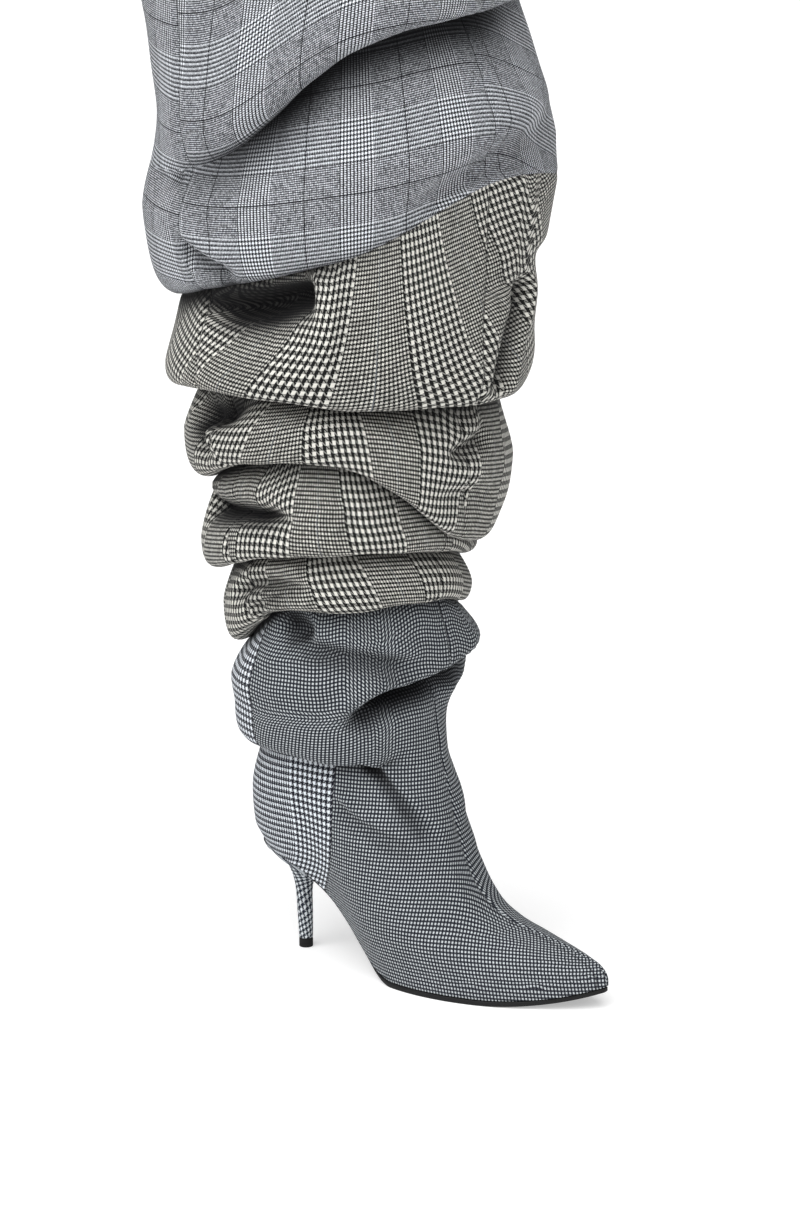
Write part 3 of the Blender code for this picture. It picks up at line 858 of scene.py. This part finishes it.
def black_leather(name, roughness, grain):
    material, shader, start = new_material(name)
    coords = object_coords(start)
    cells = start.add("ShaderNodeTexVoronoi", {}, {"Vector": coords, "Scale": grain})
    cloud = noise(start, coords, 55.0, 4.0)
    plug(shader, {
        "Base Color": cloud.mix(colour(0.004, 0.004, 0.005), colour(0.012, 0.012, 0.012)),
        "Roughness": roughness + 0.25 * cloud,
        "Normal": bump(start, cells, 0.2, 0.0004),
        "Specular IOR Level": 0.2,
    })
    return material


def new_object(name, data):
    made = bpy.data.objects.new(name, data)
    bpy.context.scene.collection.objects.link(made)
    return made


def new_mesh(uvs, floats):
    """An empty mesh with its named layers of cloth coordinates and of vertex values."""
    mesh = bmesh.new()
    for name in uvs:
        mesh.loops.layers.uv.new(name)
    for name in floats:
        mesh.verts.layers.float.new(name)
    uv_layers = [mesh.loops.layers.uv[name] for name in uvs]
    return mesh, uv_layers, [mesh.verts.layers.float[name] for name in floats]


def grid(mesh, points):
    """A grid of quads moved to an array of points. Returns the row and column of each vertex."""
    rows = points.shape[0] - 1
    columns = points.shape[1] - 1
    where = {}
    for vert in bmesh.ops.create_grid(mesh, x_segments=columns, y_segments=rows, size=0.5)["verts"]:
        i = round((vert.co.x + 0.5) * columns)
        j = round((vert.co.y + 0.5) * rows)
        x, y, z = points[j, i]
        vert.co = ((x - ORIGIN[0]) * MM, (y - ORIGIN[1]) * MM, z * MM)
        where[vert] = (j, i)
    return where


def weld(mesh):
    bmesh.ops.remove_doubles(mesh, verts=mesh.verts, dist=WELD)


def round_edges(mesh, edges, offset, segments=2):
    """Bevel edges by an offset in millimetres."""
    shape = {"segments": segments, "profile": 0.5, "affect": "EDGES", "material": -1}
    bmesh.ops.bevel(mesh, geom=edges, offset=offset * MM, **shape)


def close_tube(mesh, offset, segments):
    """Weld a tube, fill its ends and round their edges."""
    weld(mesh)
    bmesh.ops.holes_fill(mesh, edges=[edge for edge in mesh.edges if edge.is_boundary], sides=0)
    bmesh.ops.recalc_face_normals(mesh, faces=mesh.faces)
    round_edges(mesh, [edge for edge in mesh.edges if edge.calc_face_angle(0.0) > SHARP], offset, segments)


def add_piece(mesh, name, node, materials):
    """Turn a finished bmesh into a piece of the boot that stands for a node."""
    for face in mesh.faces:
        face.smooth = True
    data = bpy.data.meshes.new(name)
    mesh.to_mesh(data)
    mesh.free()
    piece = new_object(name, data)
    for material in materials:
        data.materials.append(material)
    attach(piece, "root")
    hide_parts(node)


def line_inside(mesh, hemmed=False):
    """Give a tube of cloth its lining, a second face inside it that is joined round both rims.

    Only a hem shows its cloth. Returns the edges of the hem, or of the lower rim where there is none.
    """
    weld(mesh)
    bmesh.ops.recalc_face_normals(mesh, faces=mesh.faces)
    mesh.normal_update()
    middle = sum((vert.co for vert in mesh.verts), Vector()) / len(mesh.verts)
    if sum(face.normal.dot(face.calc_center_median() - middle) for face in mesh.faces) < 0:
        bmesh.ops.reverse_faces(mesh, faces=mesh.faces)
        mesh.normal_update()
    outer_rims = [edge for edge in mesh.edges if edge.is_boundary]
    made = bmesh.ops.duplicate(mesh, geom=mesh.verts[:] + mesh.edges[:] + mesh.faces[:])
    inner_verts = [item for item in made["geom"] if isinstance(item, bmesh.types.BMVert)]
    inner_faces = [item for item in made["geom"] if isinstance(item, bmesh.types.BMFace)]
    for vert in inner_verts:
        vert.co -= vert.normal * (CLOTH_WALL * MM)
    bmesh.ops.reverse_faces(mesh, faces=inner_faces)
    for face in inner_faces:
        face.material_index = 1
    inner = set(inner_verts)
    inner_rims = [edge for edge in mesh.edges if edge.is_boundary and edge.verts[0] in inner]
    middle = sum(edge.verts[0].co.z for edge in outer_rims) / len(outer_rims)
    rims = []
    for upper in (True, False):
        loops = [edge for edge in outer_rims + inner_rims if (edge.verts[0].co.z > middle) == upper]
        joined = bmesh.ops.bridge_loops(mesh, edges=loops)["faces"]
        for face in joined:
            face.material_index = 0 if hemmed and upper else 1
        if upper == hemmed:
            rims += [edge for edge in loops if edge.is_valid]
    return rims


def round_run(points):
    """Length of cloth round the boot to each point, from the side that faces the camera."""
    run = running(np.linalg.norm(np.diff(points, axis=1), axis=2), 1)
    start = nearest(skin_angles, FACING)
    return run - run[:, start : start + 1]


def shaft_lay(name):
    """Where a roll's cloth lies on its flat panel, in millimetres round and up from its fullest line."""
    reach, shift, lift, pivot, rises, leans = LAYS[name]
    run = cloth_run(skin)
    u = np.repeat(np.radians(skin_angles)[None, :] * reach + shift, len(skin_levels), 0)
    v = run[nearest(skin_levels, row_number(name))][None, :] - run + lift
    return u - around(leans, skin_angles) * (v - lift - pivot), v + around(rises, skin_angles)


def shaft_band(name, first, last, material):
    """One band of the shaft between two rings of the skin."""
    points = skin[first : last + 1].copy()
    levels = skin_levels[first : last + 1]
    if first:
        points[0, :, 2] -= SEAM_GAP
    points[-1, :, 2] += SEAM_GAP
    mesh, (cloth,), (seam, painted_shade) = new_mesh(("cloth",), ("seam", "painted_shade"))
    where = grid(mesh, points)
    tucks = [k for k, row in enumerate(ROWS) if row[1] == "tuck"]
    lays = [shaft_lay(row[0]) for row in ROWS if row[1] == "crest"]
    slack = round_run(skin) - round_run(plain_skin)
    middles = [nearest(skin_angles, angle) for angle in PANEL_MIDDLES]
    for face in mesh.faces:
        spots = [where[vert] for vert in face.verts]
        level = sum(levels[j] for j, i in spots) / 4
        angle = sum(skin_angles[i] for j, i in spots) / 4
        u, v = lays[sum(level > k for k in tucks)]
        panel = sum(angle > edge for edge in SHAFT_SEAMS)
        shift = PANEL_SHIFT[panel]
        for loop in face.loops:
            j, i = where[loop.vert]
            k = j + first
            whole_turn = u[k, -1] - u[k, 0] if panel == len(SHAFT_SEAMS) else 0.0
            wide = u[k, i] + slack[k, i] - slack[k, middles[panel]] + shift - whole_turn
            loop[cloth].uv = (wide * MM, (v[k, i] + PANEL_LIFT * shift) * MM)
    for vert, (j, i) in where.items():
        closest = nearest(SHAFT_SEAMS, skin_angles[i])
        off = skin_angles[i] - SHAFT_SEAMS[closest]
        sign = 1.0 if (off >= 0) == (closest % 2 == 0) else -1.0
        reach = math.hypot(points[j, i, 1], points[j, i, 0] - AXIS_X)
        vert[seam] = sign * math.radians(abs(off)) * reach
        # Painted shade of the creases and tucks, which the cloth's finish turns into darker colour.
        vert[painted_shade] = skin_painted_shade[j + first, i]
    round_edges(mesh, line_inside(mesh, hemmed=not first), 0.5)
    add_piece(mesh, name + "_cloth", name, [material, lining_cloth])


def vamp_rise(points, angles):
    """Height of the sole's edge beside each point of the vamp, plus the way up from it over the cloth."""
    rise = np.zeros(points.shape[:2])
    for side in (-1, 1):
        columns = np.where(angles * side >= 0)[0][::-side]
        edge = points[-1, columns]
        widest = np.argmax(points[:, columns, 0], 0)
        reach = np.max(points[:, columns, 0], 0)
        runs = [([], []) for _ in columns]
        for station in np.arange(*VAMP_SECTIONS):
            last = [np.interp(station, edge[:, 0], edge[:, k]) for k in (1, 2)]
            total = last[1]
            for c in np.where(reach > station)[0]:
                line = points[:, columns[c]]
                ahead = np.maximum.accumulate(line[:, 0])
                spot = [np.interp(station, ahead, line[:, k]) for k in (1, 2)]
                total += math.dist(spot, last)
                last = spot
                runs[c][0].append(station)
                runs[c][1].append(total)
        for c, i in enumerate(columns):
            at, total = runs[c]
            rise[:, i] = np.interp(points[:, i, 0], at + [reach[c]], total + [points[widest[c], i, 2]])
    return rise


def foot_lay(points, creased, levels, angles):
    """Where the foot's side panels lie: round the foot along level lines, and up.

    Above the ankle they turn with the roll.
    """
    x = points[..., 0]
    y = points[..., 1]
    z = points[..., 2]
    ankle = nearest(levels, row_number("ankle"))
    heights = np.arange(*LEVEL_LINES)
    foot_u = np.empty_like(x)
    for side in (-1, 1):
        columns = np.where(angles * side >= 0)[0][::side]
        level_x, level_y = (
            np.stack([np.interp(heights, z[ankle:, i][::-1], way[ankle:, i][::-1]) for i in columns], 1)
            for way in (x, y)
        )
        run = running(np.hypot(np.diff(level_x, axis=1), np.diff(level_y, axis=1)), 1)
        flank = nearest(np.abs(angles[columns]), 90.0)
        from_flank = run[:, flank : flank + 1] + level_x[:, flank : flank + 1]
        behind = run - from_flank + run[-1, flank] + level_x[-1, flank]
        for k, i in enumerate(columns):
            foot_u[:, i] = side * np.interp(z[:, i], heights, behind[:, k])
    foot_v = z.copy()
    on_vamp = smooth(*VAMP_X, x[ankle:]) * smooth(*VAMP_EDGE, z[ankle:] - z[-1])
    foot_v[ankle:] += (vamp_rise(points[ankle:], angles) - z[ankle:]) * on_vamp
    onto_foot = smooth(*ONTO_FOOT, levels - row_number("ankle"))[:, None]
    ring_u = turn_of(points) * ANKLE_REACH + round_run(creased) - round_run(points)
    run = cloth_run(creased)
    ring_v = z[ankle][None, :] + run[ankle][None, :] - run
    return ring_u * (1 - onto_foot) + foot_u * onto_foot, ring_v * (1 - onto_foot) + foot_v * onto_foot


def back_lay(points, levels, angles):
    """How far behind its seam each point of the back panel lies, and the same measured round the heel."""
    x = points[..., 0]
    zs, xs = column(COUNTER, 0), column(COUNTER, 1)
    line = hermite(zs, xs, np.clip(points[..., 2], zs[0], zs[-1]))
    on_roll = (np.radians(np.abs(angles))[None, :] - math.radians(ANKLE_BACK)) * BACK_REACH
    low = smooth(-0.25, -0.05, levels - row_number("ankle"))[:, None]
    behind = on_roll * (1 - low) + (line - x) * low
    turn = np.arctan2(np.maximum(HEEL_X - x, 0.0), np.abs(points[..., 1]))
    round_heel = line - np.maximum(x, HEEL_X) + HEEL_RADIUS * turn
    return behind, on_roll * (1 - low) + round_heel * low


def upper_piece(first):
    """Ankle roll and foot as one skin, down to the sole's edge."""
    points = skin[first:].copy()
    plain = plain_skin[first:]
    levels = skin_levels[first:]
    points[0, :, 2] -= SEAM_GAP
    values = ("counter", "seam", "painted_shade")
    mesh, (side_cloth, back_cloth), (counter, seam, painted_shade) = new_mesh(("cloth", "back_cloth"), values)
    where = grid(mesh, points)
    u, v = foot_lay(plain, skin[first:], levels, skin_angles)
    behind, round_back = back_lay(plain, levels, skin_angles)
    ankle = row_number("ankle")
    for face in mesh.faces:
        inner = sum(skin_angles[where[vert][1]] for vert in face.verts) > 0
        over, up = INNER_SHIFT if inner else (0.0, 0.0)
        for loop in face.loops:
            spot = where[loop.vert]
            loop[side_cloth].uv = ((u[spot] + over) * MM, (v[spot] + up) * MM)
            loop[back_cloth].uv = (round_back[spot] * MM, plain[spot][2] * MM)
    for vert, (j, i) in where.items():
        # Painted shade of the creases and tucks, which the cloth's finish turns into darker colour.
        vert[painted_shade] = skin_painted_shade[j + first, i]
        vert[counter] = behind[j, i]
        vert[seam] = np.radians(skin_angles[i]) * FRONT_REACH if levels[j] < ankle else plain[j, i, 1]
    round_edges(mesh, line_inside(mesh), 0.4)
    add_piece(mesh, "upper_cloth", "upper", [tooth_cloth, lining_cloth])


def sole_piece():
    """A thin plate with rounded edges, drawn in at the toe and bevelled at the waist."""
    first = place_of(TOE_X - 2.0)
    last = place_of(BREAST_X)
    columns = 110
    across = np.linspace(-1.0, 1.0, 11)
    lower = np.empty((len(across), columns + 1, 3))
    for i in range(columns + 1):
        c = first + (last - first) * i / columns
        x, outer = sole_edge(c, -1)[0]
        inner = sole_edge(c, 1)[0][1]
        waist = 1 - smooth(*WAIST_X, x)
        inset = WAIST_INSET * waist + TOE_INSET * smooth(*TOE_TAPER_X, x)
        lower[:, i, 0] = x
        lower[:, i, 1] = np.linspace(outer + inset, inner - inset, len(across))
        lower[:, i, 2] = sole_height(x) + WAIST_BEVEL * waist * across**6
    mesh = bmesh.new()
    grid(mesh, lower)
    weld(mesh)
    for item in bmesh.ops.extrude_face_region(mesh, geom=mesh.faces[:])["geom"]:
        if isinstance(item, bmesh.types.BMVert):
            item.co.z = (sole_height(item.co.x / MM + ORIGIN[0]) + SOLE_THICKNESS) * MM
    bmesh.ops.recalc_face_normals(mesh, faces=mesh.faces)
    sharp = [edge for edge in mesh.edges if len(edge.link_faces) == 2 and edge.calc_face_angle() > SHARP]
    round_edges(mesh, sharp, 0.6, 3)
    add_piece(mesh, "outsole_leather", "outsole", [sole_leather])


def heel_loop(q, level):
    """Point of the heel's skin, q round it from the breast by the outer side, level from the seat down."""
    front = BREAST_X - HEEL_INSET
    start = place_of(front)
    side = -1 if q <= 0.5 else 1
    half = 2 * q if q <= 0.5 else 2 - 2 * q
    if half < BREAST_SHARE:
        end = sole_edge(start, side, HEEL_INSET)[0]
        seat = np.array((front, end[1] * half / BREAST_SHARE))
    else:
        place = start + (1 - start) * (half - BREAST_SHARE) / (1 - BREAST_SHARE)
        seat = sole_edge(place, side, HEEL_INSET + HEEL_TUCK * smooth(0.3, 0.6, half))[0]
    top = seat_height(seat[0]) - PIECE_GAP
    turn = 2.0 * np.pi * q
    loops = [(*seat, top), (*seat, top - HEEL_RIM)]
    for z, back, front_x, wide, slope in HEEL:
        middle = (front_x + back) / 2
        x = middle + (front_x - back) / 2 * np.cos(turn)
        loops.append((x, -wide * np.sin(turn), z - slope * (x - middle)))
    loops = np.array(loops)
    at = np.arange(len(loops), dtype=float)
    return np.array([hermite(at, loops[:, axis], level) for axis in range(3)])


def heel_piece():
    """The heel, a tapering tube with its cloth laid aslant and a seam down the back."""
    columns = 72
    levels = np.concatenate([np.linspace(0.0, 1.0, 3), np.linspace(1.0, len(HEEL) + 1.0, 64)[1:]])
    points = np.stack([[heel_loop(i / columns, level) for i in range(columns + 1)] for level in levels])
    mesh, (cloth,), (seam,) = new_mesh(("cloth",), ("seam",))
    where = grid(mesh, points)
    girth = np.linalg.norm(np.diff(points, axis=1), axis=2).sum(1)
    for vert, (j, i) in where.items():
        off = i / columns - 0.5
        vert[seam] = off * girth[j] if abs(off) < 0.4 else 50.0
    for face in mesh.faces:
        for loop in face.loops:
            j, i = where[loop.vert]
            down = levels[j] * HEEL_ROW
            turn = (i / columns - 0.5) * HEEL_GIRTH
            loop[cloth].uv = ((down - HEEL_LEAN * turn) * MM, (turn + HEEL_LEAN * down) * MM)
    close_tube(mesh, 0.4, 2)
    add_piece(mesh, "heel_cover", "heel", [heel_check])


def tip_piece():
    """The wear piece under the heel, a short plug of the heel's lowest outline."""
    _, back, front, half, _ = HEEL[-1]
    turn = np.linspace(0.0, 2 * np.pi, 65)
    x = (front + back) / 2 + (front - back) / 2 * np.cos(turn)
    y = -half * np.sin(turn)
    points = np.stack([np.column_stack([x, y, np.full(len(turn), z)]) for z in (TIP_HEIGHT, 0.0)])
    mesh = bmesh.new()
    grid(mesh, points)
    close_tube(mesh, 0.5, 3)
    add_piece(mesh, "heel_tip_rubber", "heel_tip", [tip_rubber])


# Finishes
lining_cloth = lining()
tooth_cloth = navy_tooth()
heel_check = check_cloth(
    "heel_cover_check", (0.34, 0.48), PLAIN, PLAIN,
    (0.64, 0.68, 0.71), (0.010, 0.013, 0.022), 0.8, sunk=0.4,
)
blue_check = check_cloth(
    "blue_grey_window_check", (0.26, 0.335), (10, 40), (10, 28),
    (0.79, 0.82, 0.87), (0.008, 0.009, 0.012),
    sunk=0.45, fine=0.68, grain=0.6, pane=(0.004, 0.004, 0.006),
)
cream_check = check_cloth(
    "cream_and_black_check", (0.485, 0.68), (10, 18), None,
    (0.66, 0.65, 0.60), (0.006, 0.006, 0.006),
    sunk=0.4, fine=0.8, cover=0.64, grain=0.35, pane=(0.10, 0.11, 0.12),
)
sole_leather = black_leather("sole_leather", 0.46, 900.0)
sock_leather = black_leather("sock_leather", 0.55, 700.0)
tip_rubber = black_leather("tip_rubber", 0.6, 1500.0)

# Pieces
skin_angles, skin_levels, plain_skin, skin, skin_painted_shade = boot_skin()
top_ring, lower_ring = (nearest(skin_levels, row_number(name)) for name in ("top_seam", "lower_seam"))
shaft_band("shaft_top", 0, top_ring, blue_check)
shaft_band("shaft_middle", top_ring, lower_ring, cream_check)
upper_piece(lower_ring)
sole_piece()
heel_piece()
tip_piece()
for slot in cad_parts["insole"].material_slots:
    slot.material = sock_leather

# Floor
floor_mesh = bmesh.new()
bmesh.ops.create_grid(floor_mesh, x_segments=1, y_segments=1, size=15.0)
floor_data = bpy.data.meshes.new("floor")
floor_mesh.to_mesh(floor_data)
floor_mesh.free()
floor = new_object("floor", floor_data)
floor_material, floor_shader, _ = new_material("pale_floor")
plug(floor_shader, {
    "Base Color": colour(0.72, 0.72, 0.72),
    "Roughness": 0.35,
    "Specular IOR Level": 0.25,
    "Emission Color": colour(1.0, 1.0, 1.0),
    "Emission Strength": 0.42,
})
floor_data.materials.append(floor_material)

# Light
world = bpy.data.worlds.new("studio")
bpy.context.scene.world = world
world.use_nodes = True
plug(world.node_tree.nodes["Background"], {"Color": colour(1.0, 1.0, 1.0), "Strength": 0.24})
sky = new_object("overhead_softbox", bpy.data.lights.new("overhead_softbox", "SUN"))
sky.data.energy = 4.15
sky.data.angle = math.radians(72.0)
sky.rotation_euler = Vector((-0.08, 0.52, -0.85)).to_track_quat("-Z", "Y").to_euler()

# Camera, at the photograph's angle
YAW = math.radians(35.0)
CAMERA_DISTANCE = 2.4
CAMERA_HEIGHT = 0.825
PAN = math.radians(-0.712)
PITCH = math.radians(13.753)
camera = new_object("camera", bpy.data.cameras.new("camera"))
camera.location = (
    (AXIS_X - ORIGIN[0]) * MM + CAMERA_DISTANCE * math.sin(YAW),
    -ORIGIN[1] * MM - CAMERA_DISTANCE * math.cos(YAW),
    CAMERA_HEIGHT,
)
heading = math.atan2(math.cos(YAW), -math.sin(YAW)) + PAN
level = math.cos(PITCH)
forward = Vector((math.cos(heading) * level, math.sin(heading) * level, -math.sin(PITCH)))
camera.rotation_euler = forward.to_track_quat("-Z", "Y").to_euler()
camera.data.sensor_width = 36.0
camera.data.lens = 114.709
camera.data.clip_end = 60.0
bpy.context.scene.camera = camera
bpy.context.scene.view_settings.view_transform = "Standard"
